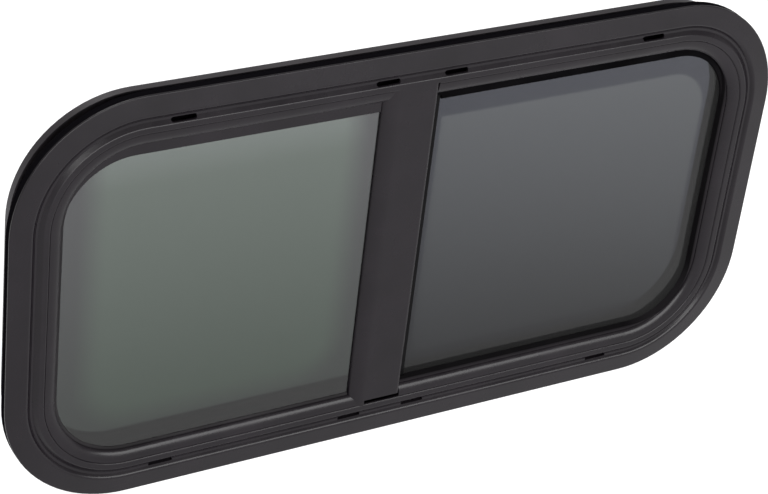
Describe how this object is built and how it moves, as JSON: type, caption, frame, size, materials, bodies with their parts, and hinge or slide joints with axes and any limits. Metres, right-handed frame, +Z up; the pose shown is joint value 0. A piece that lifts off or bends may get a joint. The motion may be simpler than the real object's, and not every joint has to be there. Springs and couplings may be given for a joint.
{
  "type": "caravan window",
  "caption": "Round-cornered caravan window in a clamp-in aluminium frame, with a fixed pane, a sliding pane and a mullion between them.",
  "frame": {"origin": "on the back face of the foam gasket, in the middle of its lower run, where it bears on the caravan wall's outer skin", "axes": "+X to the right seen from outside, +Y through the wall into the room, +Z up"},
  "size_m": [0.95, 0.0494, 0.5],
  "materials": {
    "black_frame": "satin powder coat",
    "clamp_ring": "satin powder coat",
    "foam": "closed-cell foam",
    "rubber": "matte",
    "pile": "short pile",
    "green_glass": "tinted, polished",
    "grey_glass": "tinted, polished",
    "nylon": "moulded",
    "latch_plastic": "moulded"
  },
  "bodies": {
    "root": {"outer_frame": "black_frame", "flange_gasket": "foam", "clamp_ring": "clamp_ring", "mullion_post": "black_frame", "mullion_pile": "pile", "top_bead": "black_frame", "fixed_glass": "green_glass", "fixed_glass_seal": "rubber", "infill_seal": "rubber", "top_liner": "pile", "bottom_liner": "pile", "jamb_liner": "pile", "sliding_glass": "grey_glass", "pane_stile": "black_frame", "glide_left": "nylon", "glide_right": "nylon", "latch_housing": "latch_plastic", "latch_lever": "latch_plastic", "stop_top": "rubber", "stop_bottom": "rubber"}
  },
  "joints": []
}
